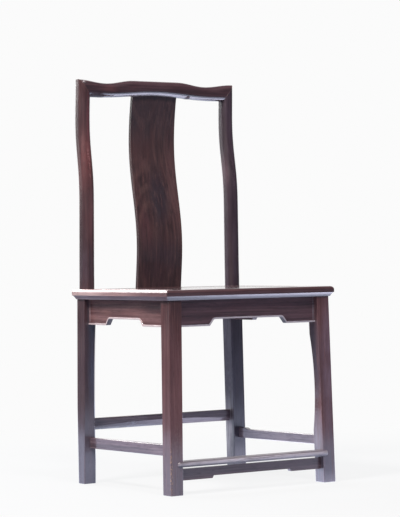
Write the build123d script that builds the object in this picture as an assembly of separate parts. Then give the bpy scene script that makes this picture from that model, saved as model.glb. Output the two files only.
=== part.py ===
from build123d import *
from math import cos, pi
import os

# Official's hat side chair in dark hardwood: a framed seat on four legs, an S-curved splat
# and a hump-backed crest rail mitred to the rear stiles.
# Millimetres. X is the chair's width, -Y its front, +Z up, and the floor is z = 0.

LEFT, RIGHT = -1, 1
FRONT, REAR = -1, 1

# Joinery shared by the whole chair
joint_clearance = 0.15      # each side of a tenon in its mortise
mortise_end_gap = 1.0       # beyond the end of a tenon
tenon_root = 6.0            # how far a tenon starts inside its own member
arris_ease = 1.5            # softened long corners
cutter_reach = 60.0         # how far a cutting shape runs past what it cuts

# Seat frame: four mitred rails with a moulded outer edge
seat_height = 500.0
seat_width = 518.0
seat_depth = 435.0
frame_thickness = 25.5
rail_width = 60.0
edge_round = 8.5            # rounded top edge
edge_band = 7.0             # upright band under it
lip_step = 1.2              # small step in under the band
lip_reach = 7.5             # how far the lip recedes to the underside
lip_hollow = 0.8            # depth of the hollow of the lip
corner_tenon_width = 10.0
corner_tenon_thickness = 8.0
corner_tenon_drop = 11.5    # top of the tenon below the top of the frame
corner_tenon_edge = 2.0     # from the rail's inner edge
corner_tenon_stop = 13.0    # from the end of the tenon to the outer edge of the seat
frame_pin_diameter = 5.0
frame_pin_length = 16.5
frame_pin_place = 20.0      # along the tenon, from the corner of the frame's opening

# Seat panel: a board that floats in grooves, stiffened by two dovetailed battens
panel_thickness = 11.0
panel_recess = 0.4          # below the top of the frame
panel_gap = 0.6             # between the panel and each rail
tongue_thickness = 5.0
tongue_length = 6.0
tongue_slack = 1.0          # free room for the tongue to swell into
batten_spacing = 190.0
batten_width = 24.0
batten_height = 12.5
dovetail_height = 3.0
dovetail_flare = 1.5        # each side
batten_tenon_width = 14.0
batten_tenon_thickness = 6.5
batten_tenon_length = 9.0

# Legs: square, slightly tapered and splayed
leg_inset = 27.5            # seat edge to leg centre
leg_top_size = 36.0
leg_foot_size = 34.5
front_top_inset = 3.4       # the front legs stand this much nearer the middle at their tops
front_foot_spread = 8.4     # sideways, from the seat down to the floor
front_foot_stride = 9.8     # forwards
rear_foot_spread = 8.2
# planed by hand, so no two are alike: added to both sizes
leg_thicker = {(LEFT, FRONT): 1.2, (RIGHT, FRONT): 2.0, (LEFT, REAR): 0.0, (RIGHT, REAR): 2.8}
worn_foot_round = 10.0      # the outer back arris of each rear leg is worn round at the floor
worn_foot_height = 200.0    # and crisp from here up
foot_ease = 1.0             # softened lower edges of the feet
long_tenon_height = 17.0    # front leg into the front rail
short_tenon_height = 10.0   # front leg into the side rail
leg_tenon_size = 10.0
leg_tenon_offset = 8.0      # tenon centre to leg centre, along X and along Y
# bark edges left on inner arrises: height of the middle, length, depth
bark_edges = {(RIGHT, FRONT): (228.0, 250.0, 8.6), (LEFT, REAR): (180.0, 400.0, 3.8)}

# Rear stiles: the rear legs carried up through the seat frame
stile_size = 35.0
stile_top_size = 34.0
stile_round = 12.5
stile_forward = 2.0         # stile centre ahead of leg centre
stile_lean_in = 4.5         # sideways, from the seat up to the crest
back_height = 542.0         # seat top to the outer corners of the crest
stile_stations = 12         # sections along the curve
# height above the seat, setback from the foot of the stile
stile_curve = [(0.0, 0.0), (245.0, -1.8), (430.0, 15.2), (back_height, 12.0)]

# Crest rail: raised in the middle, dipped beside the hump, mitred at both ends
crest_end_height = 44.8
crest_round = 13.5
crest_bow = 6.5             # the middle stands this far behind the ends
crest_corner_ease = 3.5
crest_stations = 24
hump_rise = 2.2             # above the outer corners
hump_half_length = 68.0
dip_place = 157.0           # middle of the rail to the lowest part of each dip
dip_depth = 7.6             # below the outer corners
arch_rise = 8.8             # of the underside in the middle
arch_half_length = 175.0
crest_tenon_width = 11.0
crest_tenon_thickness = 11.0
crest_tenon_height = 15.0
crest_tenon_offset = 7.5    # tenon centre to stile centre, towards the middle
crest_pin_diameter = 5.0

# Back splat: one wide S-curved board
splat_width = 138.6
splat_thickness = 12.0
splat_stations = 14
# height above the seat, setback from the foot of the stiles; it is cut off by the crest rail
splat_curve = [(-40.0, 14.6), (115.0, 4.4), (375.0, 35.9), (680.0, 1.0)]
splat_tenon_width = 110.0
splat_tenon_thickness = 7.0
splat_tenon_height = 13.0

# Aprons under the seat
apron_thickness = 13.0
apron_end_drop = 65.5       # seat underside to the lower edge at the ends
apron_middle_drop = 49.0
rear_apron_drop = 50.0
front_apron_setback = 12.4  # behind the outer face of the legs
side_apron_setback = 14.0
front_step_place = 112.0    # middle of the apron to the middle of the step
side_step_place = 77.0
side_step_shift = 7.0       # the scallop of the side aprons lies nearer the back
step_run = 13.0             # length of the sloping part of the step
step_hollow = 9.0           # radius where the step meets the raised middle
step_nose = 2.0             # radius at its lower corner
bead_width = 4.0
bead_rise = 1.2
bead_round = 0.55
apron_tenon_thickness = 6.0
apron_tenon_length = 10.5
apron_tenon_shoulder = 9.0  # above and below the tenon

# Footrest and the narrow apron below it
footrest_top = 81.8
footrest_thickness = 14.0
footrest_nose = 5.5         # radius of its front edge
footrest_corner = 8.0       # in plan, at both ends
footrest_front = 3.1        # in front of the legs
footrest_depth = 33.0
footrest_lap = 17.0         # over the front face of each leg
footrest_tenon_width = 14.0
footrest_tenon_thickness = 7.0
footrest_tenon_length = 20.0
foot_apron_top = 63.0
foot_apron_end_height = 28.3
foot_apron_rise = 6.5       # the middle is this much higher than the ends
foot_step_place = 120.0
foot_step_run = 4.0
foot_step_round = 1.5
foot_apron_thickness = 12.0
foot_apron_shoulder = 5.0

# Stretchers: a side pair, and a back one at a higher level
side_stretcher_top = 119.8
side_stretcher_height = 27.5
side_stretcher_thickness = 14.0
side_stretcher_fall = 3.6   # the rear end lies this much lower than the front end
side_stretcher_shift = 5.5  # both lie this far right of the centres of their legs
tread_wear = 3.8            # worn off the top of the right stretcher
tread_wear_start = 25.6     # from the rear leg
tread_wear_ramp = 12.0
tread_wear_round = 12.0
back_stretcher_top = 166.3
back_stretcher_height = 30.0
back_stretcher_thickness = 15.0
back_stretcher_setback = 17.4   # behind the front faces of the rear legs
hewn_rise = 16.0            # rough bevel on its lower front arris: up the front face
hewn_run = 9.0              # and across the underside
hewn_length = 610.0
stretcher_tenon_thickness = 8.0
stretcher_tenon_length = 22.0
stretcher_tenon_shoulder = 4.0

# Places worked out from the sizes above
frame_underside = seat_height - frame_thickness
half_width = seat_width / 2
half_depth = seat_depth / 2
leg_x = half_width - leg_inset
leg_y = half_depth - leg_inset
opening_x = half_width - rail_width
opening_y = half_depth - rail_width
panel_top = seat_height - panel_recess
panel_bottom = panel_top - panel_thickness
tongue_z = panel_top - panel_thickness / 2
stile_y = leg_y - stile_forward
crest_corner_z = seat_height + back_height
crest_inner_z = crest_corner_z - crest_end_height
stile_top_x = leg_x - stile_lean_in
stile_top_y = stile_y + stile_curve[-1][1]
crest_corner_x = stile_top_x + stile_top_size / 2
crest_inner_x = stile_top_x - stile_top_size / 2
corners = [(side, end) for side in (LEFT, RIGHT) for end in (FRONT, REAR)]


def block(x0, x1, y0, y1, z0, z1, grow=0.0):
    """A box between two corners, larger all round by grow."""
    x0, x1 = min(x0, x1) - grow, max(x0, x1) + grow
    y0, y1 = min(y0, y1) - grow, max(y0, y1) + grow
    z0, z1 = min(z0, z1) - grow, max(z0, z1) + grow
    middle = Pos((x0 + x1) / 2, (y0 + y1) / 2, (z0 + z1) / 2)
    return middle * Box(x1 - x0, y1 - y0, z1 - z0)


def prism(points, direction):
    """Extrudes a flat polygon by a vector."""
    return Part() + Solid.extrude(Face(Wire.make_polygon(points)), Vector(direction))


def eased(curve, place):
    """A curve that runs level through each of its points and eases from one to the next."""
    for (start, low), (stop, high) in zip(curve, curve[1:]):
        if place <= stop:
            share = max(0.0, (place - start) / (stop - start))
            return low + (high - low) * (1 - cos(pi * share)) / 2
    return curve[-1][1]


def wane(middle, along, inward, length, depth):
    """A large drum that takes a long shallow slice off an arris."""
    radius = (length ** 2 / 4 + depth ** 2) / (2 * depth)
    along, inward = Vector(along), Vector(inward).normalized()
    place = Plane(origin=Vector(middle) - inward * (radius - depth), z_dir=along.cross(inward))
    return place * Cylinder(radius, 2 * cutter_reach)


# ---------------------------------------------------------------- leg positions

def leg_centre(side, end, z):
    """Centre of a leg at height z; the legs lean outwards towards the floor."""
    drop = 1 - z / frame_underside
    spread = front_foot_spread if end == FRONT else rear_foot_spread
    stride = front_foot_stride if end == FRONT else 0.0
    inset = front_top_inset if end == FRONT else 0.0
    return side * (leg_x - inset + spread * drop), end * (leg_y + stride * drop)


def leg_size(side, end, z):
    size = leg_foot_size + (leg_top_size - leg_foot_size) * z / frame_underside
    return size + leg_thicker[side, end]


def leg_ring(side, end, z):
    """The four corners of a leg at height z, the outer one last."""
    x, y = leg_centre(side, end, z)
    half = leg_size(side, end, z) / 2
    turns = [(-side, end), (-side, -end), (side, -end), (side, end)]
    return [Vector(x + across * half, y + along * half, z) for across, along in turns]


def leg_block(side, end):
    """A leg from the floor to the seat frame, with sharp corners and no mortises."""
    lower = leg_ring(side, end, 0.0)
    upper = leg_ring(side, end, frame_underside)
    faces = [Face(Wire.make_polygon(lower)), Face(Wire.make_polygon(upper))]
    for i in range(4):
        j = (i + 1) % 4
        faces.append(Face(Wire.make_polygon([lower[i], lower[j], upper[j], upper[i]])))
    return Part() + Solid(Shell(faces))


leg_blocks = {corner: leg_block(*corner) for corner in corners}


def inner_face(side, end, z):
    """Distance from the chair's middle to a leg's inner side face."""
    return abs(leg_centre(side, end, z)[0]) - leg_size(side, end, z) / 2


def facing_face(side, end, z):
    """Distance from the chair's middle to the face that looks at the other leg of the side."""
    return abs(leg_centre(side, end, z)[1]) - leg_size(side, end, z) / 2


def outer_end_face(end, z):
    """Distance from the chair's middle to the front or back face of its legs."""
    return abs(leg_centre(RIGHT, end, z)[1]) + leg_size(RIGHT, end, z) / 2


def trimmed(blank, first, second):
    """Cuts a member off at the faces of the two legs that it runs between."""
    return blank - leg_blocks[first] - leg_blocks[second]


def cross_tenon(corner, y0, y1, z0, z1, length):
    """Extents of a tenon that runs sideways into a leg, and of its mortise."""
    side = corner[0]
    face = inner_face(*corner, (z0 + z1) / 2)
    tenon = (side * (face - tenon_root), side * (face + length), y0, y1, z0, z1)
    mortise = (tenon[0], tenon[1] + side * mortise_end_gap, y0, y1, z0, z1)
    return tenon, mortise


def side_tenon(corner, x0, x1, z0, z1, length):
    """Extents of a tenon that runs front to back into a leg, and of its mortise."""
    end = corner[1]
    face = facing_face(*corner, (z0 + z1) / 2)
    tenon = (x0, x1, end * (face - tenon_root), end * (face + length), z0, z1)
    mortise = (x0, x1, tenon[2], tenon[3] + end * mortise_end_gap, z0, z1)
    return tenon, mortise


leg_mortises = {corner: [] for corner in corners}


def tenoned(body, joints):
    """Adds tenons to a member and books their mortises in the legs."""
    for corner, (tenon, mortise) in joints.items():
        body += block(*tenon)
        leg_mortises[corner].append(block(*mortise, grow=joint_clearance))
    return body


# ---------------------------------------------------------------- seat frame

def rail_section():
    """Section of a frame rail: across from the moulded outer edge, and up."""
    band_top = seat_height - edge_round
    band_foot = band_top - edge_band
    turn = edge_round * (1 - cos(pi / 4))
    lip_middle = ((lip_step + lip_reach) / 2 + lip_hollow, (band_foot + frame_underside) / 2)
    outline = Polyline((edge_round, seat_height), (rail_width, seat_height),
                       (rail_width, frame_underside), (lip_reach, frame_underside))
    outline += ThreePointArc((lip_reach, frame_underside), lip_middle, (lip_step, band_foot))
    outline += Polyline((lip_step, band_foot), (0, band_foot), (0, band_top))
    outline += ThreePointArc((0, band_top), (turn, seat_height - turn), (edge_round, seat_height))
    return make_face(outline)


def mitred_rail(outward):
    """A length of moulded rail, mitred at both ends, on the side that outward points to."""
    outward = Vector(outward)
    reach = Vector(half_width * outward.X, half_depth * outward.Y, 0)
    across = outward * -1
    plane = Plane(origin=reach, x_dir=across, z_dir=across.cross(Vector(0, 0, 1)))
    bar = extrude(plane * rail_section(), amount=max(half_width, half_depth), both=True)
    if outward.X:
        plan = [(outward.X * x, y) for x, y in ((half_width, -half_depth), (half_width, half_depth),
                                                (opening_x, opening_y), (opening_x, -opening_y))]
    else:
        plan = [(x, outward.Y * y) for x, y in ((-half_width, half_depth), (half_width, half_depth),
                                                (opening_x, opening_y), (-opening_x, opening_y))]
    foot = [Vector(x, y, frame_underside - 1) for x, y in plan]
    return bar & prism(foot, (0, 0, frame_thickness + 2))


def corner_tenon(side, end, grow=0.0):
    """Tenon of a front or rear rail that enters the side rail inside the leg."""
    top = seat_height - corner_tenon_drop
    edge = opening_y + corner_tenon_edge
    return block(side * opening_x, side * (half_width - corner_tenon_stop),
                 end * edge, end * (edge + corner_tenon_width),
                 top - corner_tenon_thickness, top, grow)


def frame_pin(side, end):
    """Bamboo pin driven up through a corner tenon."""
    y = opening_y + corner_tenon_edge + corner_tenon_width / 2
    place = Pos(side * (opening_x + frame_pin_place), end * y, frame_underside + frame_pin_length / 2)
    return place * Cylinder(frame_pin_diameter / 2, frame_pin_length)


def panel_groove():
    """The groove round the opening of the frame, as one slab."""
    depth = tongue_length - panel_gap + tongue_slack
    x, y = opening_x + depth, opening_y + depth
    half = tongue_thickness / 2 + joint_clearance
    return block(-x, x, -y, y, tongue_z - half, tongue_z + half)


def stile_section(size, corner):
    return RectangleRounded(size, size, corner)


def stile_hole(side):
    """Square hole with rounded corners through the mitre of the frame."""
    section = stile_section(stile_size + 2 * joint_clearance, stile_round + joint_clearance)
    return extrude(Pos(side * leg_x, stile_y, frame_underside - 1) * section, frame_thickness + 2)


def leg_tenon(side, kind, grow=0.0):
    """The long tenon of a front leg stands in the front rail, the short one in the side rail."""
    offset = leg_tenon_offset if kind == "long" else -leg_tenon_offset
    height = long_tenon_height if kind == "long" else short_tenon_height
    x, y = leg_centre(side, FRONT, frame_underside)
    x, y, half = x - side * offset, y - offset, leg_tenon_size / 2
    return block(x - half, x + half, y - half, y + half,
                 frame_underside - tenon_root, frame_underside + height, grow)


def batten_tenon(side, end, grow=0.0):
    x, z = side * batten_spacing / 2, panel_bottom - batten_height / 2
    return block(x - batten_tenon_width / 2, x + batten_tenon_width / 2,
                 end * (opening_y - tenon_root), end * (opening_y + batten_tenon_length),
                 z - batten_tenon_thickness / 2, z + batten_tenon_thickness / 2, grow)


def cross_rail(end):
    """Front or rear rail of the seat frame, with a tenon at each end."""
    rail = mitred_rail((0, end, 0))
    for side in (LEFT, RIGHT):
        rail += corner_tenon(side, end) & mitred_rail((side, 0, 0))
        rail -= batten_tenon(side, end, joint_clearance)
        rail -= frame_pin(side, end)
        rail -= stile_hole(side) if end == REAR else leg_tenon(side, "long", joint_clearance)
    rail -= panel_groove()
    if end == REAR:
        rail -= splat_foot_tenon(joint_clearance)
    return rail


def side_rail(side):
    """Left or right rail of the seat frame, mortised at both mitres."""
    rail = mitred_rail((side, 0, 0)) - panel_groove() - stile_hole(side)
    rail -= leg_tenon(side, "short", joint_clearance)
    for end in (FRONT, REAR):
        rail -= corner_tenon(side, end, joint_clearance)
        rail -= frame_pin(side, end)
    return rail


# ---------------------------------------------------------------- seat panel and battens

def dovetail(side, grow=0.0):
    """Dovetailed ridge on top of a batten, wider at its top."""
    x, neck = side * batten_spacing / 2, batten_width / 2 - dovetail_flare + grow
    top, reach = neck + dovetail_flare, opening_y - panel_gap
    section = [Vector(x - neck, -reach, panel_bottom), Vector(x + neck, -reach, panel_bottom),
               Vector(x + top, -reach, panel_bottom + dovetail_height + grow),
               Vector(x - top, -reach, panel_bottom + dovetail_height + grow)]
    return prism(section, (0, 2 * reach, 0))


def seat_panel():
    x, y = opening_x - panel_gap, opening_y - panel_gap
    panel = block(-x, x, -y, y, panel_bottom, panel_top)
    x, y = x + tongue_length, y + tongue_length
    panel += block(-x, x, -y, y, tongue_z - tongue_thickness / 2, tongue_z + tongue_thickness / 2)
    for side in (LEFT, RIGHT):
        panel -= dovetail(side, joint_clearance)
    return panel


def batten(side):
    x = side * batten_spacing / 2
    body = block(x - batten_width / 2, x + batten_width / 2, -opening_y, opening_y,
                 panel_bottom - batten_height, panel_bottom)
    for end in (FRONT, REAR):
        body += batten_tenon(side, end)
    return body + dovetail(side)


# ---------------------------------------------------------------- crest, stiles and splat

def mitre_side(side, away):
    """Everything beyond the mitre of the crest, outwards or inwards of it."""
    run = Vector(side * (crest_corner_x - crest_inner_x), 0, crest_end_height)
    high = Vector(side * crest_corner_x, -cutter_reach, crest_corner_z) + run
    low = Vector(side * crest_inner_x, -cutter_reach, crest_inner_z) - run
    far = Vector(side * away * 3 * cutter_reach, 0, 0)
    return prism([high, low, low + far, high + far], (0, 2 * leg_y + 2 * cutter_reach, 0))


def corner_cutter(side):
    """Takes the sharp outer corner off the mitred crest and stile."""
    x, z, ease = crest_corner_x, crest_corner_z, crest_corner_ease
    points = [(x - ease, z + ease), (x + ease, z + ease), (x + ease, z - ease)]
    return prism([Vector(side * a, -cutter_reach, b) for a, b in points],
                 (0, 2 * leg_y + 2 * cutter_reach, 0))


def crest_y(x):
    """Middle of the crest rail's thickness: it bows back between its ends."""
    return stile_top_y + crest_bow * (1 - (x / crest_corner_x) ** 2)


def crest_section(x):
    """Section of the crest rail across its length."""
    top_curve = [(hump_half_length, hump_rise), (dip_place, -dip_depth), (crest_corner_x, 0.0)]
    under_curve = [(0.0, arch_rise), (arch_half_length, 0.0)]
    top = crest_corner_z + eased(top_curve, abs(x))
    under = crest_inner_z + eased(under_curve, abs(x))
    plane = Plane(origin=(x, crest_y(x), (top + under) / 2), x_dir=(0, 1, 0), z_dir=(1, 0, 0))
    return plane * RectangleRounded(stile_top_size, top - under, crest_round)


def crest_block():
    """The crest rail with its mitres but no mortises."""
    step = 2 * (crest_corner_x + crest_corner_ease) / crest_stations
    sections = [crest_section((i - crest_stations / 2) * step) for i in range(crest_stations + 1)]
    rail = Part() + loft(sections)
    for side in (LEFT, RIGHT):
        rail = rail - mitre_side(side, 1) - corner_cutter(side)
    return rail


full_crest = crest_block()


def crest_tenon_centre(side):
    """Where the tenon of a stile crosses the mitre."""
    x = stile_top_x - crest_tenon_offset
    slope = crest_end_height / (crest_corner_x - crest_inner_x)
    return side * x, stile_top_y, crest_inner_z + (x - crest_inner_x) * slope


def crest_tenon(side, grow=0.0):
    x, y, z = crest_tenon_centre(side)
    return block(x - crest_tenon_width / 2, x + crest_tenon_width / 2,
                 y - crest_tenon_thickness / 2, y + crest_tenon_thickness / 2,
                 z - 2 * crest_tenon_height, z + crest_tenon_height, grow)


def crest_pin(side):
    """Bamboo pin through the back of the crest rail and the tenon of a stile."""
    x, y, z = crest_tenon_centre(side)
    start = Plane(origin=(x, y - crest_tenon_thickness / 2, z + crest_tenon_height / 2),
                  z_dir=(0, 1, 0))
    return extrude(start * Circle(crest_pin_diameter / 2), cutter_reach) & full_crest


def stile(side):
    """A stile from the underside of the seat frame to its tenon in the crest rail."""
    sections = []
    for i in range(stile_stations + 1):
        height = (back_height + stile_top_size) * i / stile_stations
        share = height / back_height
        size = stile_size + (stile_top_size - stile_size) * share
        x = side * (leg_x - stile_lean_in * share)
        y = stile_y + eased(stile_curve, height)
        sections.append(Pos(x, y, seat_height + height) * stile_section(size, stile_round))
    post = Part() + loft(sections)
    post = post - mitre_side(side, -1) - corner_cutter(side)
    start = Pos(side * leg_x, stile_y, frame_underside)
    post += extrude(start * stile_section(stile_size, stile_round), frame_thickness)
    return post + crest_tenon(side) - crest_pin(side)


def splat_y(height):
    return stile_y + eased(splat_curve, height)


def splat_foot_tenon(grow=0.0):
    y, half = splat_y(0.0), splat_tenon_width / 2
    return block(-half, half, y - splat_tenon_thickness / 2, y + splat_tenon_thickness / 2,
                 seat_height - splat_tenon_height, seat_height + tenon_root, grow)


def splat_head_tenon(grow=0.0):
    under = crest_inner_z + arch_rise
    y, half = splat_y(under - seat_height), splat_tenon_width / 2
    return block(-half, half, y - splat_tenon_thickness / 2, y + splat_tenon_thickness / 2,
                 under - 2 * tenon_root, under + splat_tenon_height, grow)


def back_splat():
    """The splat, cut to the underside of the crest rail, with a long tenon at each end."""
    reach = crest_inner_z + 2 * arch_rise - seat_height
    sections = []
    for i in range(splat_stations + 1):
        height = reach * i / splat_stations
        board = RectangleRounded(splat_width, splat_thickness, arris_ease)
        sections.append(Pos(0, splat_y(height), seat_height + height) * board)
    board = Part() + loft(sections)
    board = board - full_crest
    return board + splat_foot_tenon() + splat_head_tenon()


def crest_rail():
    rail = full_crest - splat_head_tenon(joint_clearance)
    for side in (LEFT, RIGHT):
        rail = rail - crest_tenon(side, joint_clearance) - crest_pin(side)
    return rail


# ---------------------------------------------------------------- aprons

def scalloped_outline(half_length, top, ends, middle, place, shift, run, nose, hollow):
    """Front view of an apron: deep ends, and a raised middle between two sloped steps."""
    left, right = shift - place, shift + place
    points = [(-half_length, top), (-half_length, ends), (left - run / 2, ends),
              (left + run / 2, middle), (right - run / 2, middle), (right + run / 2, ends),
              (half_length, ends), (half_length, top)]
    radii = [0, 0, nose, hollow, hollow, nose, 0, 0]
    return make_face(FilletPolyline(*points, radius=radii, close=True))


def face_plane(outward, distance):
    """An upright plane that looks outwards, with its own Y axis pointing up."""
    outward = Vector(outward)
    return Plane(origin=outward * distance, x_dir=Vector(0, 0, 1).cross(outward), z_dir=outward)


def beaded_apron(outward, distance, half_length, place, shift=0.0):
    """A scalloped apron with a raised bead along its lower edge."""
    ends, middle = frame_underside - apron_end_drop, frame_underside - apron_middle_drop
    steps = (ends, middle, place, shift, step_run, step_nose, step_hollow)
    outline = scalloped_outline(half_length, frame_underside, *steps)
    wide = scalloped_outline(half_length + 2 * bead_width, frame_underside + 2 * bead_width, *steps)
    strip = outline - offset(wide, -bead_width)
    front = face_plane(outward, distance)
    bead = extrude(front * strip, bead_rise)
    crown = bead.faces().sort_by(Axis((0, 0, 0), outward))[-1]
    bead = fillet(crown.edges(), bead_round)
    return extrude(front * outline, -apron_thickness) + bead


def apron_joints(end, middle, drop):
    """Tenons of a front or rear apron in its two legs."""
    half = apron_tenon_thickness / 2
    z0, z1 = frame_underside - drop + apron_tenon_shoulder, frame_underside - apron_tenon_shoulder
    return {(side, end): cross_tenon((side, end), middle - half, middle + half, z0, z1,
                                     apron_tenon_length) for side in (LEFT, RIGHT)}


def front_apron():
    distance = outer_end_face(FRONT, frame_underside - apron_middle_drop) - front_apron_setback
    body = beaded_apron((0, -1, 0), distance, leg_x, front_step_place)
    body = trimmed(body, (LEFT, FRONT), (RIGHT, FRONT))
    return tenoned(body, apron_joints(FRONT, apron_thickness / 2 - distance, apron_end_drop))


def rear_apron():
    """A plain board, flat along its lower edge."""
    distance = outer_end_face(REAR, frame_underside - apron_middle_drop) - front_apron_setback
    body = block(-leg_x, leg_x, distance - apron_thickness, distance,
                 frame_underside - rear_apron_drop, frame_underside)
    body = trimmed(body, (LEFT, REAR), (RIGHT, REAR))
    return tenoned(body, apron_joints(REAR, distance - apron_thickness / 2, rear_apron_drop))


def side_apron(side):
    face = abs(leg_centre(side, REAR, frame_underside - apron_middle_drop)[0])
    distance = face + leg_size(side, REAR, frame_underside) / 2 - side_apron_setback
    body = beaded_apron((side, 0, 0), distance, leg_y, side_step_place, side * side_step_shift)
    body = trimmed(body, (side, FRONT), (side, REAR))
    middle, half = side * (distance - apron_thickness / 2), apron_tenon_thickness / 2
    z0 = frame_underside - apron_end_drop + apron_tenon_shoulder
    z1 = frame_underside - apron_tenon_shoulder
    joints = {(side, end): side_tenon((side, end), middle - half, middle + half, z0, z1,
                                      apron_tenon_length) for end in (FRONT, REAR)}
    return tenoned(body, joints)


# ---------------------------------------------------------------- footrest and stretchers

def footrest():
    """A round-fronted board between the front legs that laps over their front faces."""
    z0, z1 = footrest_top - footrest_thickness, footrest_top
    middle = (z0 + z1) / 2
    front = outer_end_face(FRONT, middle) + footrest_front
    reach = inner_face(RIGHT, FRONT, middle) + footrest_lap
    bar = block(-reach, reach, -front, footrest_depth - front, z0, z1)
    bar = fillet(bar.edges().filter_by(Axis.Z).group_by(Axis.Y)[0], footrest_corner)
    rims = bar.edges().filter_by(Axis.Z, reverse=True)
    bar = fillet(rims.filter_by(lambda edge: edge.center().Y < footrest_corner - front), footrest_nose)
    bar = trimmed(bar, (LEFT, FRONT), (RIGHT, FRONT))
    y, half = -leg_centre(RIGHT, REAR, middle)[1], footrest_tenon_width / 2
    rise = footrest_tenon_thickness / 2
    joints = {(side, FRONT): cross_tenon((side, FRONT), y - half, y + half, middle - rise,
                                         middle + rise, footrest_tenon_length)
              for side in (LEFT, RIGHT)}
    return tenoned(bar, joints)


def footrest_apron():
    """A narrow board a little below the footrest, raised along its middle."""
    z0 = foot_apron_top - foot_apron_end_height
    distance = outer_end_face(FRONT, z0) - front_apron_setback
    outline = scalloped_outline(leg_x, foot_apron_top, z0, z0 + foot_apron_rise, foot_step_place, 0.0,
                                foot_step_run, foot_step_round, foot_step_round)
    body = extrude(face_plane((0, -1, 0), distance) * outline, -foot_apron_thickness)
    body = trimmed(body, (LEFT, FRONT), (RIGHT, FRONT))
    y, half = foot_apron_thickness / 2 - distance, apron_tenon_thickness / 2
    joints = {(side, FRONT): cross_tenon((side, FRONT), y - half, y + half, z0 + foot_apron_shoulder,
                                         foot_apron_top - foot_apron_shoulder, apron_tenon_length)
              for side in (LEFT, RIGHT)}
    return tenoned(body, joints)


def side_stretcher(side):
    """A stretcher that falls a little towards the back; the right one is worn by feet."""
    def top(y):
        return side_stretcher_top - side_stretcher_fall * y / (2 * leg_y)

    legs = [leg_centre(RIGHT, end, side_stretcher_top)[0] for end in (FRONT, REAR)]
    x = side * sum(legs) / 2 + side_stretcher_shift
    points = [(-leg_y, top(-leg_y) - side_stretcher_height),
              (leg_y, top(leg_y) - side_stretcher_height), (leg_y, top(leg_y))]
    if side == RIGHT:
        start = facing_face(RIGHT, REAR, side_stretcher_top) - tread_wear_start
        stop = start - tread_wear_ramp
        points += [(start, top(start)), (stop, top(stop) - tread_wear),
                   (-leg_y, top(-leg_y) - tread_wear)]
        radii = [0, 0, 0, tread_wear_round, tread_wear_round, 0]
    else:
        points.append((-leg_y, top(-leg_y)))
        radii = [0, 0, 0, 0]
    outline = make_face(FilletPolyline(*points, radius=radii, close=True))
    bar = extrude(Pos(x, 0, 0) * (Plane.YZ * outline), side_stretcher_thickness / 2, both=True)
    long_edges = bar.edges().filter_by(lambda edge: abs(edge.tangent_at(0.5).Y) > 0.5)
    bar = trimmed(fillet(long_edges, arris_ease), (side, FRONT), (side, REAR))
    half, rise = stretcher_tenon_thickness / 2, side_stretcher_height / 2 - stretcher_tenon_shoulder
    joints = {}
    for end in (FRONT, REAR):
        middle = top(end * leg_y) - side_stretcher_height / 2
        joints[side, end] = side_tenon((side, end), x - half, x + half, middle - rise,
                                       middle + rise, stretcher_tenon_length)
    return tenoned(bar, joints)


def back_stretcher():
    """A stretcher between the rear legs, rough-hewn along its lower front arris."""
    z0, z1 = back_stretcher_top - back_stretcher_height, back_stretcher_top
    front = facing_face(RIGHT, REAR, (z0 + z1) / 2) + back_stretcher_setback
    bar = block(-leg_x, leg_x, front, front + back_stretcher_thickness, z0, z1)
    bar = fillet(bar.edges().filter_by(Axis.X), arris_ease)
    inward = Vector(0, hewn_rise, hewn_run)
    depth = hewn_rise * hewn_run / inward.length
    bar -= wane((0, front, z0), (1, 0, 0), inward, hewn_length, depth)
    bar = trimmed(bar, (LEFT, REAR), (RIGHT, REAR))
    y, half = front + back_stretcher_thickness / 2, stretcher_tenon_thickness / 2
    joints = {(side, REAR): cross_tenon((side, REAR), y - half, y + half,
                                        z0 + stretcher_tenon_shoulder, z1 - stretcher_tenon_shoulder,
                                        stretcher_tenon_length) for side in (LEFT, RIGHT)}
    return tenoned(bar, joints)


# ---------------------------------------------------------------- legs

def leg(side, end):
    """A leg with its mortises; a rear leg is one piece of timber with its stile."""
    rounds = {0.0: arris_ease, frame_underside: arris_ease}
    if end == REAR:
        rounds = {0.0: worn_foot_round, worn_foot_height: arris_ease, frame_underside: arris_ease}
    sections = []
    for z, outer_round in rounds.items():
        points = [(corner.X, corner.Y) for corner in leg_ring(side, end, z)]
        radii = [arris_ease, arris_ease, arris_ease, outer_round]
        sections.append(Pos(0, 0, z) * make_face(FilletPolyline(*points, radius=radii, close=True)))
    body = Part() + loft(sections, ruled=True)
    body = chamfer(body.faces().sort_by(Axis.Z)[0].edges(), foot_ease)
    if (side, end) in bark_edges:
        height, length, depth = bark_edges[side, end]
        upper, lower = [leg_ring(side, end, z)[1] for z in (frame_underside, 0.0)]
        middle = lower + (upper - lower) * (height / frame_underside)
        along = (upper - lower).normalized()
        body -= wane(middle, along, (side, end, 0), length, depth)
    if end == REAR:
        body += stile(side)
    else:
        body = body + leg_tenon(side, "long") + leg_tenon(side, "short")
    for mortise in leg_mortises[side, end]:
        body -= mortise
    return body


# ---------------------------------------------------------------- the whole chair

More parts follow.
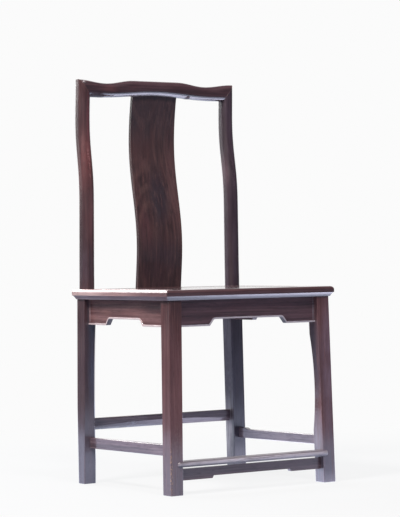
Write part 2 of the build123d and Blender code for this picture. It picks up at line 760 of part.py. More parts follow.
# The legs come last, because every other member books its mortises in them
parts = {
    "crest_rail": crest_rail(),
    "back_splat": back_splat(),
    "seat_front_rail": cross_rail(FRONT),
    "seat_rear_rail": cross_rail(REAR),
    "seat_left_rail": side_rail(LEFT),
    "seat_right_rail": side_rail(RIGHT),
    "seat_panel": seat_panel(),
    "left_seat_batten": batten(LEFT),
    "right_seat_batten": batten(RIGHT),
    "front_apron": front_apron(),
    "left_apron": side_apron(LEFT),
    "right_apron": side_apron(RIGHT),
    "rear_apron": rear_apron(),
    "footrest": footrest(),
    "footrest_apron": footrest_apron(),
    "left_stretcher": side_stretcher(LEFT),
    "right_stretcher": side_stretcher(RIGHT),
    "back_stretcher": back_stretcher(),
    "crest_pins": crest_pin(LEFT) + crest_pin(RIGHT),
    "seat_frame_pins": Part() + [frame_pin(*corner) for corner in corners],
    "left_front_leg": leg(LEFT, FRONT),
    "right_front_leg": leg(RIGHT, FRONT),
    "left_rear_leg": leg(LEFT, REAR),
    "right_rear_leg": leg(RIGHT, REAR),
}

# The origin is the middle of the chair's footprint, on the floor
whole = Compound(list(parts.values())).bounding_box()
centred = Pos(-whole.center().X, -whole.center().Y, 0)

os.makedirs("parts", exist_ok=True)
for name, body in parts.items():
    export_step(centred * body, f"parts/{name}.step")
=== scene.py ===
import math

import bpy
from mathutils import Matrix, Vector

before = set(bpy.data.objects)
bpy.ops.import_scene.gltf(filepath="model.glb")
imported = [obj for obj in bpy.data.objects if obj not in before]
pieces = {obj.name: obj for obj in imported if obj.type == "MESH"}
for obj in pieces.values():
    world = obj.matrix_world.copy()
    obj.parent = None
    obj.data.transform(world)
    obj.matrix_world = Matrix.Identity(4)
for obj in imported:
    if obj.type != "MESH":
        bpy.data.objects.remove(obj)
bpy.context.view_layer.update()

# ---------------------------------------------------------------------------------------------
# Left rear leg: one long rosewood timber, a square leg below the seat and a rounded, S-curved
# stile above it, sawn from the plank and scraped smooth. It runs up through a hole in the seat
# frame and is mitred to the crest.
# ---------------------------------------------------------------------------------------------


def linear(hex_colour):
    """Turns an sRGB hex colour to linear red, green, blue and alpha."""
    channels = [int(hex_colour[i:i + 2], 16) / 255 for i in (1, 3, 5)]
    return [c / 12.92 if c <= 0.04045 else ((c + 0.055) / 1.055) ** 2.4 for c in channels] + [1.0]


def add(tree, kind, inputs=None, **settings):
    """Adds one shader node with its settings. An input is a link, a value or a hex colour."""
    made = tree.nodes.new("ShaderNode" + kind)
    for name, value in settings.items():
        setattr(made, name, value)
    for name, value in (inputs or {}).items():
        if isinstance(value, bpy.types.NodeSocket):
            tree.links.new(value, made.inputs[name])
        else:
            made.inputs[name].default_value = linear(value) if isinstance(value, str) else value
    return made


# Old rosewood, planed, scraped, lacquered thinly and waxed for generations. It gives the eye a
# red-brown wood under a purple-black oxide, with fine dark streaks and pores, a glassy but
# uneven gloss, and arrises rubbed a little paler.
ALONG_X, ALONG_Y, ALONG_Z = range(3)         # the way in which a timber's grain runs
POLISHED_WOOD_IOR = 1.5
LACQUER_IOR = 1.65                           # a real one is near 1.5; raised to match the gloss
WAXED_ROUGHNESS = 0.42                       # of the wood itself, below the lacquer
WIPED, SMEARED = -0.07, 0.10                 # how far a cloth has changed that roughness
PORE_WIDTH, PORE_LENGTH = 1.6, 22.0          # mm; real pores are 0.3 by 6, too fine to show
PORE_EDGE = (0.58, 0.72)                     # where in its pattern a pore begins and is deepest
PORE_TONE = "#1c1316"                        # old wax and dust, packed into the pores
STREAK_WIDTH, STREAK_LENGTH = 5.0, 190.0     # mm; real growth streaks are half as wide
BAND_WIDTH, BAND_LENGTH = 12.0, 330.0        # mm; broader bands of early and late wood
CLOUD_WIDTH, CLOUD_LENGTH = 34.0, 95.0       # mm; the oxide's darker clouds
CLOUD_STRENGTH = 0.5
RUB_WIDTH, RUB_LENGTH = 14.0, 60.0           # mm; patches where an arris is rubbed more or less
SMEAR_WIDTH, SMEAR_LENGTH = 22.0, 70.0       # mm; where a cloth has left more or less wax
WORN_ARRIS = 0.0028                          # m; how far in from an arris the rubbing reaches
BEAD_RISE = 0.0005                           # m; how far up a bead's flank the rubbing fades in
RELIEF = 0.0003                              # m; the height of the scraped surface's waves
HEART_LEAN = (math.radians(2.2), math.radians(-1.4), 0.0)    # the heart leans from the timber
HEART_STRETCH = 0.12                         # how much more slowly rings change along the grain
RING_PERIOD = 0.314                          # m; between two rings of a ring wave of scale 1


def polished_wood(name, grain, seed, tones, ring_gap=7.0, figure=0.24, streaks=0.85,
                  arris="#8a6a66", edge_wear_and_highlight=0.3, coat=1.0, coat_roughness=0.10,
                  lacquer=LACQUER_IOR, marks=(), dull=(), bead=None, bare_below=None):
    """Makes a polished timber's material. The tones are its dark, body and pale wood, ring_gap is in
    mm, figure and streaks say how strongly rings and streaks show, and the arris strength says how
    strongly wear, and on the aprons a painted highlight, shows on the arrises."""
    dark, body, pale = tones
    material = bpy.data.materials.new(name)
    material.use_nodes = True
    tree = material.node_tree
    tree.nodes.clear()
    place = add(tree, "TexCoord").outputs["Object"]

    def grown(width, length, detail, roughness, step):
        """A growing wood's pattern, so many mm wide and so many long along the grain."""
        scale = [1000 / (length if axis == grain else width) for axis in range(3)]
        scaled = add(tree, "Mapping", {"Vector": place, "Scale": scale})
        return add(tree, "TexNoise", {"Vector": scaled.outputs[0], "W": seed + step, "Scale": 1.0,
                                      "Detail": detail, "Roughness": roughness},
                   noise_dimensions="4D").outputs["Fac"]

    def stained(colour, tone, pattern, low, high, strength=1.0):
        """Lays a tone over the colour, from nothing where the pattern is low to its strength."""
        share = add(tree, "MapRange", {"Value": pattern, "From Min": low, "From Max": high,
                                       "To Max": strength}, interpolation_type="SMOOTHSTEP")
        return add(tree, "Mix", {0: share.outputs[0], 6: colour, 7: tone},
                   data_type="RGBA").outputs[2]

    def outward(centre, size):
        """From 0 at the middle of a soft ellipsoid, given in mm, to 1 at its rim."""
        local = add(tree, "Mapping", {"Vector": place, "Location": [v / 1000 for v in centre],
                                      "Scale": [v / 1000 for v in size]}, vector_type="TEXTURE")
        return add(tree, "VectorMath", {0: local.outputs[0]}, operation="LENGTH").outputs["Value"]

    # Growth rings about a heart that lies outside the timber, in another place for each piece.
    heart = add(tree, "Mapping", {
        "Vector": place, "Rotation": HEART_LEAN,
        "Location": (0.31 * math.sin(seed * 2.1), 0.27 * math.cos(seed * 1.7), 0.11 * seed),
        "Scale": [HEART_STRETCH if axis == grain else 1.0 for axis in range(3)]})
    rings = add(tree, "TexWave", {
        "Vector": heart.outputs[0], "Scale": 1000 * RING_PERIOD / ring_gap, "Distortion": 5.0,
        "Detail": 2.0, "Detail Scale": 0.35, "Detail Roughness": 0.5},
        wave_type="RINGS", rings_direction="XYZ"[grain]).outputs["Fac"]
    streak = grown(STREAK_WIDTH, STREAK_LENGTH, 3.0, 0.55, 1.0)
    band = grown(BAND_WIDTH, BAND_LENGTH, 2.0, 0.5, 2.0)
    cloud = grown(CLOUD_WIDTH, CLOUD_LENGTH, 4.0, 0.6, 3.0)
    pore = grown(PORE_WIDTH, PORE_LENGTH, 1.0, 0.5, 4.0)
    pit = add(tree, "MapRange", {"Value": pore, "From Min": PORE_EDGE[0],
                                 "From Max": PORE_EDGE[1]},
              interpolation_type="SMOOTHSTEP").outputs[0]

    colour = stained(dark, body, band, 0.30, 0.62)
    colour = stained(colour, pale, rings, 0.35, 1.0, figure)

    # Marks of use and growth, and marks of painted shade, shadow, highlight and reflection, are soft
    # ellipsoids. Each has its place and size in mm, its tone and strength, and the size in mm of the
    # grains that break it up, or 0 if it is whole. The causes of use and growth named beside them are
    # guesses. Streaks and clouds come over the marks, and a few tones are written much paler than they
    # show.
    for centre, size, tone, strength, grains in marks:
        if grains:
            flecks = add(tree, "TexNoise", {
                "Vector": place, "W": seed + 7.0, "Scale": 1000 / grains, "Detail": 2.0,
                "Roughness": 0.6}, noise_dimensions="4D")
            strength = add(tree, "MapRange", {
                "Value": flecks.outputs["Fac"], "From Min": 0.46, "From Max": 0.60,
                "To Max": strength}, interpolation_type="SMOOTHSTEP").outputs[0]
        colour = stained(colour, tone, outward(centre, size), 1.0, 0.25, strength)

    colour = stained(colour, dark, streak, 0.52, 0.70, streaks)
    colour = stained(colour, pale, streak, 0.46, 0.30, 0.6)
    colour = stained(colour, dark, cloud, 0.48, 0.70, CLOUD_STRENGTH)
    colour = stained(colour, PORE_TONE, pore, *PORE_EDGE, 0.4)

    # Arrises are rubbed by hands and cloths, and on the aprons carry a painted highlight: there the
    # rounded normal leaves the true one.
    normal = add(tree, "NewGeometry").outputs["Normal"]
    rounded = add(tree, "Bevel", {"Radius": WORN_ARRIS}, samples=6).outputs[0]
    level = add(tree, "VectorMath", {0: normal, 1: rounded}, operation="DOT_PRODUCT")
    patchy = add(tree, "MapRange", {
        "Value": grown(RUB_WIDTH, RUB_LENGTH, 3.0, 0.6, 5.0), "From Min": 0.36, "From Max": 0.62,
        "To Min": 0.25 * edge_wear_and_highlight, "To Max": edge_wear_and_highlight}, interpolation_type="SMOOTHSTEP").outputs[0]
    colour = stained(colour, arris, level.outputs["Value"], 0.995, 0.86, patchy)

    # A raised bead's crown takes the arris colour all along it: a painted highlight.
    if bead:
        axis, flank = bead
        stands = add(tree, "SeparateXYZ", {0: place}).outputs[axis]
        crown = flank + math.copysign(BEAD_RISE, flank)
        colour = stained(colour, arris, stands, flank, crown, 0.9)

    # Faces turned down are darker and have no lacquer.
    if bare_below:
        rise = add(tree, "SeparateXYZ", {0: normal}).outputs["Z"]
        colour = stained(colour, bare_below, rise, -0.25, -0.5)
        coat = add(tree, "MapRange", {"Value": rise, "From Min": -0.5, "From Max": -0.25,
                                      "To Max": coat}, interpolation_type="SMOOTHSTEP").outputs[0]

    # Places where the lacquer has gone dull, each a soft ellipsoid in mm.
    for centre, size in dull:
        spot = add(tree, "MapRange", {"Value": outward(centre, size), "From Min": 1.0,
                                      "From Max": 0.25}, interpolation_type="SMOOTHSTEP")
        coat = add(tree, "MapRange", {"Value": spot.outputs[0], "From Max": 0.5, "To Min": coat,
                                      "To Max": 0.0}, interpolation_type="SMOOTHSTEP").outputs[0]

    # The gloss is uneven from wiping and duller in the pores. Scraping and wax leave low waves.
    smear = grown(SMEAR_WIDTH, SMEAR_LENGTH, 3.0, 0.6, 6.0)
    roughness = add(tree, "MapRange", {
        "Value": smear, "From Min": 0.3, "From Max": 0.7, "To Min": WAXED_ROUGHNESS + WIPED,
        "To Max": WAXED_ROUGHNESS + SMEARED}, interpolation_type="SMOOTHSTEP").outputs[0]
    roughness = add(tree, "Math", {0: pit, 1: 0.15, 2: roughness},
                    operation="MULTIPLY_ADD").outputs[0]
    height = 0.0
    for pattern, lift in ((streak, 0.4), (pit, -0.6), (smear, 1.2)):
        height = add(tree, "Math", {0: pattern, 1: lift, 2: height},
                     operation="MULTIPLY_ADD").outputs[0]
    relief = add(tree, "Bump", {"Height": height, "Strength": 0.3, "Distance": RELIEF}).outputs[0]
    shader = add(tree, "BsdfPrincipled", {
        "Base Color": colour, "Roughness": roughness, "IOR": POLISHED_WOOD_IOR, "Normal": relief,
        "Coat Weight": coat, "Coat Roughness": coat_roughness, "Coat IOR": lacquer,
        "Coat Normal": relief})
    add(tree, "OutputMaterial", {"Surface": shader.outputs[0]})
    return material


def finish(node, material):
    """Gives a piece of the chair its material."""
    slots = pieces[node].data.materials
    for index in range(len(slots)):
        slots[index] = material


LEFT_REAR_MARKS = (
    ((-229, 190, 830), (60, 60, 110), "#6a3e41", 0.75, 0),      # red where hands take the stile
    ((-251, 200, 900), (13, 60, 170), "#33242a", 0.75, 0),      # painted shade on the stile's outer side
    # painted shade on the stile's outer side, lower down
    ((-251, 190, 640), (13, 60, 150), "#3c2d33", 0.6, 0),
    ((-220, 172, 930), (9, 40, 120), "#74444c", 0.6, 0),        # painted light on the stile's front, redder
    ((-227, 168, 830), (5, 30, 60), "#96696b", 0.7, 6),         # a scuffed streak down its front
    # painted light on the stile's front, lower down
    ((-222, 166, 680), (20, 30, 110), "#65454a", 0.8, 0),
    ((-235, 185, 560), (60, 60, 90), "#463c48", 0.5, 0),        # a grey bloom just over the seat
    ((-235, 185, 330), (60, 60, 230), "#4b3a43", 0.7, 0),       # the leg is greyer than the stile
    ((-226, 160, 420), (22, 24, 110), "#3b4555", 0.9, 0),       # painted shade of the seat and a bluish painted reflection on its front
    # paler and bluer lower down: painted reflection of the floor
    ((-226, 160, 280), (22, 24, 150), "#52586f", 0.85, 0),
    ((-216, 166, 350), (4, 8, 90), "#8c8896", 0.8, 4),          # the inner arris, flecked pale
    ((-216, 166, 200), (5, 10, 80), "#a3a1b0", 0.8, 4),
    ((-240, 185, 30), (80, 80, 200), "#5f5b6c", 0.7, 0))        # the foot, painted paler grey-blue: painted reflection of the floor
finish("left_rear_leg", polished_wood(
    "waxed_rosewood_left_rear_leg", ALONG_Z, 1.0, ("#3a262a", "#4a3337", "#5f4143"),
    marks=LEFT_REAR_MARKS))

# ---------------------------------------------------------------------------------------------
# Right rear leg: the twin of the left one, of the same make, from a darker and greyer part of the
# plank. Below the seat it has painted shade and a pale, bluish painted reflection of the floor.
# ---------------------------------------------------------------------------------------------

# The same waxed rosewood, with less lacquer left: a quieter gloss over almost black wood.
RIGHT_REAR_MARKS = (
    ((208, 202, 260), (6, 6, 180), "#8d7f8f", 0.6, 0),          # pale inner arris at the back
    ((210, 195, 320), (16, 60, 230), "#5c5a6d", 0.8, 0),        # painted reflection of the floor on the leg's inner side
    ((209, 195, 90), (17, 60, 140), "#fbf6ff", 1.0, 0),         # painted reflection of the floor by the foot, written almost white
    ((208, 180, 240), (12, 40, 130), "#a9a8b4", 0.3, 12),       # patches of painted reflection and dust between the two
    ((240, 165, 200), (60, 14, 260), "#4f4d5d", 0.7, 0),        # the leg's dull front: painted shade and a bluish painted reflection
    ((240, 165, 60), (60, 14, 120), "#2f2e3a", 0.6, 0),
    ((208, 195, 900), (14, 60, 120), "#2a2129", 0.6, 0),        # painted shade on the stile's inner side
    ((238, 180, 920), (20, 40, 120), "#4a3d4b", 0.6, 0),
    ((208, 190, 800), (14, 50, 70), "#5c4650", 0.6, 0),         # the stile's bend, rubbed
    ((229, 185, 790), (12, 30, 70), "#8f7f8c", 0.4, 4))
finish("right_rear_leg", polished_wood(
    "waxed_rosewood_right_rear_leg", ALONG_Z, 2.0, ("#32272f", "#3d2f3b", "#50434c"), coat=0.6,
    marks=RIGHT_REAR_MARKS))

# ---------------------------------------------------------------------------------------------
# Front legs: two square rosewood posts, splayed a little, tenoned up into the seat frame. The
# right one keeps a bark edge inside.
# ---------------------------------------------------------------------------------------------

# Waxed rosewood, the reddest wood of the chair, glossy up by the seat and deep there with a painted
# shadow of the seat, and grey at the feet. The right leg's inner side has painted shade and a pale
# painted reflection of the floor.
LEG_TONES = ("#573639", "#6f4a4e", "#845d5c")
LEFT_FRONT_MARKS = (
    ((-232, -222, 130), (30, 14, 60), "#8a6a66", 0.35, 6),      # knocks from shoes
    ((-232, -215, 470), (60, 60, 130), "#442a2c", 0.85, 0),     # painted shadow of the seat
    ((-254, -222, 340), (24, 24, 230), "#4f3437", 0.75, 0),     # darker along the outer arris
    ((-240, -205, 0), (80, 80, 170), "#4f4855", 0.6, 0),        # the greyed foot
    ((-253.5, -222.5, 60), (7, 7, 100), "#b08a62", 0.8, 3))     # its arris, worn to raw wood
RIGHT_FRONT_MARKS = (
    ((206, -190, 300), (20, 60, 170), "#4c4b5a", 0.85, 0),      # painted shade of the seat and a bluish painted reflection on the inner side
    ((240, -205, 0), (80, 80, 190), "#434152", 0.8, 0),         # the greyed foot
    ((238, -220, 290), (26, 20, 260), "#7e6f85", 0.55, 0),      # a purple cast down the front
    ((206, -190, 80), (18, 60, 140), "#b2b1c4", 0.9, 0),        # pale painted reflection of the floor, low inside
    ((212, -195, 180), (4, 30, 80), "#a7a4b2", 0.5, 6))         # what the bark edge has left
for side, seed, marks in (("left", 3.0, LEFT_FRONT_MARKS), ("right", 4.0, RIGHT_FRONT_MARKS)):
    finish(side + "_front_leg", polished_wood(
        "waxed_rosewood_" + side + "_front_leg", ALONG_Z, seed, LEG_TONES, marks=marks))

# ---------------------------------------------------------------------------------------------
# Stretchers: a rosewood rail on each side and a higher one behind, tenoned between the legs.
# The back one is roughly hewn along its lower front arris, and was never planed there.
# ---------------------------------------------------------------------------------------------

# Handled rosewood, rubbed by shoes and hands to a grey brown. The hewn face is bare, and painted pale
# and bluish with a painted reflection of the floor.
RAIL_TONES = ("#47363e", "#6a5560", "#8a7780")
RIGHT_STRETCHER_MARKS = (
    ((240, 0, 105), (40, 300, 40), "#b2a0ae", 0.9, 0),)         # worn grey, and a painted reflection of the floor all along, written paler
BACK_STRETCHER_MARKS = (
    ((-130, 178, 152), (130, 20, 12), "#4a4350", 0.6, 0),       # dark above the hewn face
    ((-120, 185, 136), (170, 30, 9), "#e0e4f4", 0.95, 0),       # the hewn face: painted reflection of the floor, written far paler
    ((-92, 180, 145), (34, 40, 10), "#a5a4b4", 0.7, 14))        # ragged wood round the knot
for side, seed, marks in (("left", 5.0, ()), ("right", 6.0, RIGHT_STRETCHER_MARKS)):
    finish(side + "_stretcher", polished_wood(
        "handled_rosewood_" + side + "_stretcher", ALONG_Y, seed, RAIL_TONES, marks=marks))
finish("back_stretcher", polished_wood(
    "hewn_rosewood_back_stretcher", ALONG_X, 7.0, RAIL_TONES, coat=0.6,
    marks=BACK_STRETCHER_MARKS))

# ---------------------------------------------------------------------------------------------
# Footrest: a round-fronted rosewood tread, tenoned low down between the front legs and lapped
# over them. The narrow board below it is tenoned too, and cut back along its middle.
# ---------------------------------------------------------------------------------------------

# Trodden rosewood: feet have taken the lacquer off and left dull grey wood with dark streaks.
# Its rounded front edge is painted almost white, a painted highlight. The board below keeps a thin,
# even sheen.
FOOTREST_MARKS = (
    ((0, -229, 75.2), (620, 16, 7.5), "#d6d2e2", 0.95, 0),      # painted highlight along the front edge
    ((236, -224, 76), (10, 10, 8), "#2b252c", 0.7, 3))          # darker by the right leg
finish("footrest", polished_wood(
    "trodden_rosewood_footrest", ALONG_X, 8.0, ("#3d353e", "#544d58", "#6f6874"), streaks=0.9,
    coat=0.4, coat_roughness=0.3, marks=FOOTREST_MARKS))
finish("footrest_apron", polished_wood(
    "rosewood_footrest_apron", ALONG_X, 9.0, ("#47343a", "#654f57", "#7c646b"), coat=0.5))

# ---------------------------------------------------------------------------------------------
# Aprons: thin rosewood boards below the seat, tenoned between the legs. The front and side ones
# are sawn to a stepped scallop, with a bead carved along its edge. The rear one is plain.
# ---------------------------------------------------------------------------------------------

# Waxed rosewood, redder at the sides. The bead's crown and the arrises carry a thin pale line, a
# painted highlight, and faces turned down are darker. A bead is given by the axis in which it stands
# proud of the board and the place in m of its flank.
APRON_TONES = ("#3f2d34", "#5f454e", "#795a62")
SIDE_APRON_TONES = ("#56383b", "#7f5c5e", "#94706f")
DARK_UNDERSIDE = "#33282f"
LEFT_BEAD = (ALONG_X, -0.2367)
RIGHT_BEAD = (ALONG_X, 0.2381)
FRONT_BEAD = (ALONG_Y, -0.2030)
LEFT_APRON_MARKS = (
    ((-236, -150, 450), (20, 110, 30), "#4a3034", 0.85, 0),     # painted shadow of the seat, by the front leg
    ((-236, 60, 462), (20, 160, 16), "#4c373c", 0.15, 0),       # faint painted shadow under the seat
    ((-236, 90, 440), (20, 40, 12), "#9c746e", 0.2, 0),         # paler where hands lift
    ((-236, 162, 440), (6, 3, 60), "#a79aa3", 0.7, 0))          # painted highlight on the joint by the rear leg
FRONT_APRON_MARKS = (
    ((0, -204, 462), (300, 30, 16), "#70505a", 0.6, 0),         # painted light over the seat's shadow below the seat frame, redder
    ((205, -204, 440), (3, 6, 60), "#9a93a0", 0.7, 0))          # painted highlight on the joint by the right leg
for node, grain, seed, tones, arris, bead, marks in (
        ("left_apron", ALONG_Y, 10.0, SIDE_APRON_TONES, "#d6c8ce", LEFT_BEAD, LEFT_APRON_MARKS),
        ("right_apron", ALONG_Y, 11.0, SIDE_APRON_TONES, "#d6c8ce", RIGHT_BEAD, ()),
        ("front_apron", ALONG_X, 12.0, APRON_TONES, "#cfc8d6", FRONT_BEAD, FRONT_APRON_MARKS),
        ("rear_apron", ALONG_X, 13.0, APRON_TONES, "#a29aa8", None, ())):
    finish(node, polished_wood(
        "beaded_rosewood_" + node, grain, seed, tones, arris=arris, edge_wear_and_highlight=0.6, bead=bead,
        bare_below=DARK_UNDERSIDE, marks=marks))

# ---------------------------------------------------------------------------------------------
# Seat: a mitred rosewood frame with a moulded edge, a floating panel tongued into it, and two
# battens dovetailed across the panel's underside to keep it flat.
# ---------------------------------------------------------------------------------------------

# Waxed rosewood, polished by sitting. The front rail is dark wood under a bright lacquer, whose
# IOR is raised far above a real one's 1.5 to match its gloss, and the left rail is rubbed to a
# pale, dull pink brown.
SEAT_TONES = ("#3f292e", "#593e44", "#715356")
for node, grain, seed in (
        ("seat_rear_rail", ALONG_X, 15.0), ("seat_right_rail", ALONG_Y, 17.0),
        ("seat_panel", ALONG_X, 18.0), ("left_seat_batten", ALONG_Y, 19.0),
        ("right_seat_batten", ALONG_Y, 20.0)):
    finish(node, polished_wood("waxed_rosewood_" + node, grain, seed, SEAT_TONES))

FRONT_RAIL_MARKS = (
    ((0, -226, 475), (620, 24, 9), "#7d7580", 0.6, 0),)         # painted reflection of the floor on the lower moulding
finish("seat_front_rail", polished_wood(
    "waxed_rosewood_seat_front_rail", ALONG_X, 14.0, ("#39252a", "#50373d", "#664a4d"),
    edge_wear_and_highlight=0.05, lacquer=2.0, marks=FRONT_RAIL_MARKS))

LEFT_RAIL_MARKS = (
    ((-200, -120, 502), (60, 90, 8), "#dcd3d6", 0.95, 5),       # painted highlight along the top arris, speckled
    ((-258, 170, 487), (40, 170, 60), "#bfa8aa", 0.8, 0),       # palest towards the back
    ((-258, -190, 487), (40, 170, 60), "#5d4046", 0.85, 0),     # darker towards the front
    ((-252, -212, 496), (40, 26, 14), "#2a1d21", 0.85, 4))      # old wax at the mitre
finish("seat_left_rail", polished_wood(
    "rubbed_rosewood_seat_left_rail", ALONG_Y, 16.0, ("#74565b", "#9d8083", "#b49898"),
    coat=0.7, coat_roughness=0.25, bare_below="#775d64", marks=LEFT_RAIL_MARKS))

# ---------------------------------------------------------------------------------------------
# Splat: one wide rosewood board, sawn to an S-curve from a thick plank, and held in mortises in
# the rear seat rail and the crest.
# ---------------------------------------------------------------------------------------------

# Figured rosewood, chocolate brown with a quiet figure of wide rings, and dark purple clouds in
# its middle and above the seat.
SPLAT_MARKS = (
    ((-40, 212, 870), (45, 60, 90), "#52393c", 0.5, 0),         # warmer upper left
    ((56, 200, 760), (30, 60, 230), "#573c40", 0.55, 0),        # warmer right edge
    ((5, 200, 735), (42, 60, 120), "#2c2530", 0.8, 0),          # the cloud in the middle
    ((-45, 190, 650), (30, 60, 80), "#56393f", 0.5, 0),         # warmer lower left edge
    ((0, 190, 560), (100, 60, 100), "#392b35", 0.6, 0),         # the cloud above the seat
    ((0, 205, 985), (90, 60, 50), "#3f282b", 0.6, 0))           # painted shadow below the crest
finish("back_splat", polished_wood(
    "figured_rosewood_splat", ALONG_Z, 21.0, ("#2f2226", "#442f32", "#5a4141"), ring_gap=9.0,
    figure=0.40, marks=SPLAT_MARKS))

# ---------------------------------------------------------------------------------------------
# Crest: a humped rosewood rail, sawn and rounded from one thick timber, and mitred to both
# stiles, with a mortise below for the splat.
# ---------------------------------------------------------------------------------------------

# Waxed rosewood with the thickest, smoothest lacquer: its rounded lower edge mirrors a clear
# pale band, broken in two places where the lacquer has gone dull. The lacquer's IOR is raised
# far above a real one's 1.5 to match that band.
CREST_MARKS = (
    ((-238, 180, 1036), (16, 12, 7), "#d9d6dc", 0.9, 3),        # painted glints at the left mitre
    ((-150, 175, 1020), (40, 30, 14), "#5c373c", 0.6, 0),       # redder on the left shoulder
    ((-192, 195, 1000), (34, 30, 8), "#231920", 0.8, 0))        # dark below it
CREST_DULL = (((-192, 190, 1000), (34, 40, 12)), ((98, 190, 1000), (9, 40, 12)))
finish("crest_rail", polished_wood(
    "waxed_rosewood_crest_rail", ALONG_X, 22.0, ("#312128", "#422d35", "#593d42"),
    coat_roughness=0.06, lacquer=2.13, marks=CREST_MARKS, dull=CREST_DULL))

# ---------------------------------------------------------------------------------------------
# Pins: split bamboo, whittled round, driven through the tenons of the crest and the seat frame,
# and trimmed flush.
# ---------------------------------------------------------------------------------------------

# Bamboo darkened by wax and age: small, warm brown and straight in the grain.
for node, seed in (("crest_pins", 23.0), ("seat_frame_pins", 24.0)):
    finish(node, polished_wood("darkened_bamboo_" + node, ALONG_Z, seed,
                               ("#5a4028", "#7a5a38", "#97764c")))

# ---------------------------------------------------------------------------------------------
# Studio floor: a wide sheet of pale paper under the chair. It is pale grey and keeps the
# shadow near the chair, and turns white further out.
# ---------------------------------------------------------------------------------------------

FLOOR_RADIUS = 3.0                      # m
FLOOR_MIDDLE = (0.35, -0.50, -0.0005)   # m; just below the feet, and further out in front
bpy.ops.mesh.primitive_circle_add(vertices=128, radius=FLOOR_RADIUS, fill_type="NGON",
                                  location=FLOOR_MIDDLE)
floor = bpy.context.object
floor.name = "studio_floor"

# Matt paper, uncoated. Seen straight, most of its white is its own, so that only a soft shadow
# shows on it. In the chair's gloss alone it is brighter than that white, and most of all in a
# pool beside the chair, faintly blue, and it dies away where the paper ends in front. White
# paper has a strength of 1 there too. More was used to match the sheen of the legs and feet.
WHITE_PAPER = "#fbfbfb"
PALE_TO_WHITE = (0.7, 1.8)              # m from the chair
OWN_WHITE = 0.88                        # the share of it near the chair
POOL_MIDDLE = (0.70, 0.05, 0.0)         # m
POOL_SIZE = (0.80, 0.62, 1.0)           # m
SHEEN_AROUND, SHEEN_IN_POOL = 1.6, 4.1  # times white
FORWARD = (0.576, -0.817, 0.0)          # the way in which the fronts of the legs mirror it
PAPER_ENDS = (2.0, 2.7)                 # m in that direction
paper = bpy.data.materials.new("pale_paper_floor")
paper.use_nodes = True
tree = paper.node_tree
tree.nodes.clear()
rays = add(tree, "LightPath")
local = add(tree, "TexCoord").outputs["Object"]
place = add(tree, "Mapping", {"Vector": local, "Location": (*FLOOR_MIDDLE[:2], 0.0)}).outputs[0]
far = add(tree, "VectorMath", {0: place}, operation="LENGTH").outputs["Value"]
white_share = add(tree, "MapRange", {
    "Value": far, "From Min": PALE_TO_WHITE[0], "From Max": PALE_TO_WHITE[1],
    "To Min": OWN_WHITE, "To Max": 1.0}, interpolation_type="SMOOTHSTEP").outputs[0]
shaded = add(tree, "BsdfDiffuse", {"Color": "#b2b7bd"})
lit = add(tree, "Emission", {"Color": WHITE_PAPER, "Strength": 1.0})
seen = add(tree, "MixShader", {0: white_share, 1: shaded.outputs[0], 2: lit.outputs[0]})
matt = add(tree, "BsdfDiffuse", {"Color": "#7c7d80"})
along = add(tree, "VectorMath", {0: place, 1: FORWARD}, operation="DOT_PRODUCT").outputs["Value"]
fading = add(tree, "MapRange", {
    "Value": along, "From Min": PAPER_ENDS[0], "From Max": PAPER_ENDS[1], "To Min": 1.0,
    "To Max": 0.06}, interpolation_type="SMOOTHSTEP").outputs[0]
in_pool = add(tree, "Mapping", {"Vector": place, "Location": POOL_MIDDLE, "Scale": POOL_SIZE},
              vector_type="TEXTURE").outputs[0]
from_middle = add(tree, "VectorMath", {0: in_pool}, operation="LENGTH").outputs["Value"]
pool = add(tree, "MapRange", {"Value": from_middle, "From Min": 1.1, "From Max": 0.5},
           interpolation_type="SMOOTHSTEP").outputs[0]
sheen = add(tree, "MapRange", {"Value": pool, "To Min": SHEEN_AROUND, "To Max": SHEEN_IN_POOL})
sheen = add(tree, "Math", {0: sheen.outputs[0], 1: fading}, operation="MULTIPLY").outputs[0]
tint = add(tree, "Mix", {0: pool, 6: "#ccd6f2", 7: "#e2e4ff"}, data_type="RGBA").outputs[2]
mirrored = add(tree, "Emission", {"Color": tint, "Strength": sheen})
shiny = add(tree, "Math", {0: rays.outputs["Is Glossy Ray"],
                           1: rays.outputs["Is Transmission Ray"]}, operation="MAXIMUM")
unseen = add(tree, "MixShader", {0: shiny.outputs[0], 1: matt.outputs[0], 2: mirrored.outputs[0]})
surface = add(tree, "MixShader", {0: rays.outputs["Is Camera Ray"], 1: unseen.outputs[0],
                                  2: seen.outputs[0]})
add(tree, "OutputMaterial", {"Surface": surface.outputs[0]})
floor.data.materials.append(paper)

# ---------------------------------------------------------------------------------------------
# Studio room: white paper hangs behind the chair. In the gloss it is white too, while the rest
# of the room is a dim blue-grey near the floor and almost black above, behind the lamps.
# ---------------------------------------------------------------------------------------------

TO_PAPER = (0.576, 0.817, 0.0)          # the way from the chair to the middle of the paper
PAPER_EDGE = (0.60, 0.85)               # the cosine at which the room gives way to the paper
HORIZON = (-0.12, 0.10)                 # the rise at which its lower part gives way to the upper
world = bpy.data.worlds.new("white_studio")
bpy.context.scene.world = world
world.use_nodes = True
tree = world.node_tree
tree.nodes.clear()
rays = add(tree, "LightPath")
way = add(tree, "TexCoord").outputs["Generated"]
toward = add(tree, "VectorMath", {0: way, 1: TO_PAPER}, operation="DOT_PRODUCT")
paper_share = add(tree, "MapRange", {
    "Value": toward.outputs["Value"], "From Min": PAPER_EDGE[0], "From Max": PAPER_EDGE[1]},
    interpolation_type="SMOOTHSTEP").outputs[0]
rise = add(tree, "SeparateXYZ", {0: way}).outputs["Z"]
upper_share = add(tree, "MapRange", {"Value": rise, "From Min": HORIZON[0],
                                     "From Max": HORIZON[1]},
                  interpolation_type="SMOOTHSTEP").outputs[0]
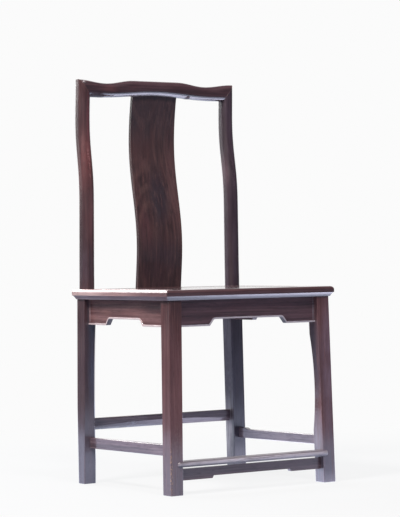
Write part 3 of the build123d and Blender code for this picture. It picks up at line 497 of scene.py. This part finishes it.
room = add(tree, "Mix", {0: upper_share, 6: "#4a4f5c", 7: "#2c2c33"}, data_type="RGBA").outputs[2]
mirrored = add(tree, "Mix", {0: paper_share, 6: room, 7: WHITE_PAPER}, data_type="RGBA")
shiny = add(tree, "Math", {0: rays.outputs["Is Glossy Ray"],
                           1: rays.outputs["Is Transmission Ray"]}, operation="MAXIMUM")
soft = add(tree, "Background", {"Color": "#cfd8ea", "Strength": 0.25})
glossy = add(tree, "Background", {"Color": mirrored.outputs[2], "Strength": 1.0})
white = add(tree, "Background", {"Color": WHITE_PAPER, "Strength": 1.0})
unseen = add(tree, "MixShader", {0: shiny.outputs[0], 1: soft.outputs[0], 2: glossy.outputs[0]})
surface = add(tree, "MixShader", {0: rays.outputs["Is Camera Ray"], 1: unseen.outputs[0],
                                  2: white.outputs[0]})
add(tree, "OutputWorld", {"Surface": surface.outputs[0]})

# ---------------------------------------------------------------------------------------------
# Studio lamps: a warm softbox high on the left, a small one high in front, and a wide one
# behind the chair, twice as high as it, that whitens the top edges.
# ---------------------------------------------------------------------------------------------


def softbox(name, place, aim, size, power, tint):
    """Hangs a softbox at a place, turned to its aim. Lengths are in m and the power in W."""
    data = bpy.data.lights.new(name, "AREA")
    data.shape = "RECTANGLE"
    data.size, data.size_y = size
    data.energy = power
    data.color = linear(tint)[:3]
    made = bpy.data.objects.new(name, data)
    made.location = place
    made.rotation_euler = (Vector(aim) - Vector(place)).to_track_quat("-Z", "Y").to_euler()
    made.visible_camera = False
    bpy.context.scene.collection.objects.link(made)


softbox("key_softbox", place=(-2.6, -0.7, 4.1), aim=(0.0, 0.0, 0.5), size=(0.85, 0.85),
        power=265, tint="#fff4ec")
softbox("top_softbox", place=(-0.4, -1.9, 3.4), aim=(0.0, -0.1, 0.4), size=(0.6, 0.6),
        power=75, tint="#fff8f2")
softbox("back_softbox", place=(-0.6, 3.2, 2.15), aim=(0.0, 0.0, 0.5), size=(4.0, 1.5),
        power=175, tint="#ffffff")

# ---------------------------------------------------------------------------------------------
# Camera: a long lens in front and to the left of the chair, a little above the seat, level but
# for a hair of tilt and roll.
# ---------------------------------------------------------------------------------------------

TILT, ROLL, TURN = -0.1368, 0.8392, -35.1815     # degrees
camera = bpy.data.objects.new("camera", bpy.data.cameras.new("camera"))
camera.data.sensor_width = 36.0
camera.data.lens = 152.55
camera.location = (-3.24769, -4.60419, 0.58845)
camera.rotation_euler = (math.radians(90 + TILT), math.radians(ROLL), math.radians(TURN))
bpy.context.scene.collection.objects.link(camera)
bpy.context.scene.camera = camera
bpy.context.scene.view_settings.view_transform = "Standard"
